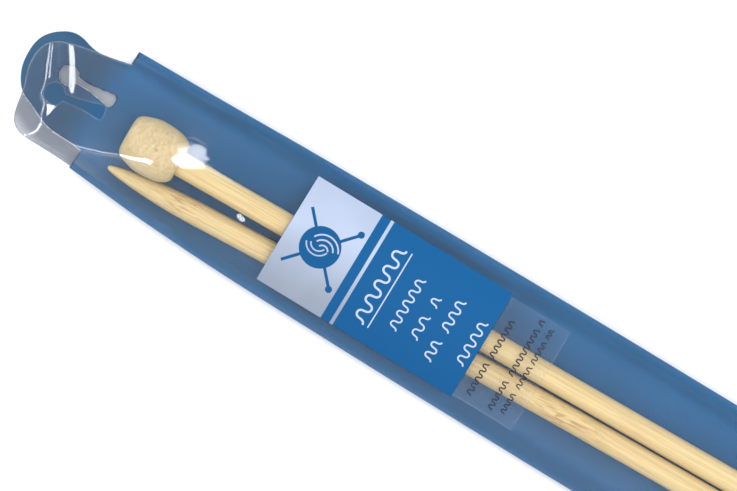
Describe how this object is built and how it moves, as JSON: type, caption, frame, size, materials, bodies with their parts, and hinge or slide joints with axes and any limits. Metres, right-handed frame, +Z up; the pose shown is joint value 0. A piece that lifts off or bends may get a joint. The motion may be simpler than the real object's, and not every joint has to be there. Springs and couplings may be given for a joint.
{
  "type": "knitting needle pair in hanging wallet",
  "caption": "Pair of straight bamboo knitting needles with turned end knobs, head to tip in a clear-front hanging wallet with a keyhole tongue.",
  "frame": {"origin": "middle of the whole outline on the surface it lies on, under the blue back sheet", "axes": "+X from the hang tongue to the welded bottom edge, +Y across the wallet, +Z up out of the clear front"},
  "size_m": [0.3956, 0.0422, 0.0171],
  "materials": {
    "bamboo": "polished bamboo",
    "turned_wood": "sanded and waxed",
    "blue_sheet": "smooth soft vinyl sheet",
    "clear_film": "clear glossy vinyl film",
    "label": "printed satin label",
    "clear_sticker": "clear film with dark print"
  },
  "bodies": {
    "wallet": {"back_sheet": "blue_sheet", "front_film": "clear_film", "size_label": "label", "info_sticker": "clear_sticker"},
    "front_flap": {"front_flap": "clear_film"},
    "needle_b": {"needle_b_shaft": "bamboo", "needle_b_head": "turned_wood"},
    "needle_a": {"needle_a_shaft": "bamboo", "needle_a_head": "turned_wood"}
  },
  "joints": [
    {"name": "needle_b_slide", "type": "slide", "parent": "wallet", "child": "needle_b", "axis": [-1, 0, 0], "range_m": [0, 0.39]},
    {"name": "needle_a_slide", "type": "slide", "parent": "needle_b", "child": "needle_a", "axis": [-1, 0, 0], "range_m": [0, 0.39]},
    {"name": "flap_lift", "type": "hinge", "parent": "wallet", "child": "front_flap", "pos_m": [-0.1724, 0.001, 0.017], "axis": [0, 1, 0], "range_deg": [0, 85]}
  ]
}
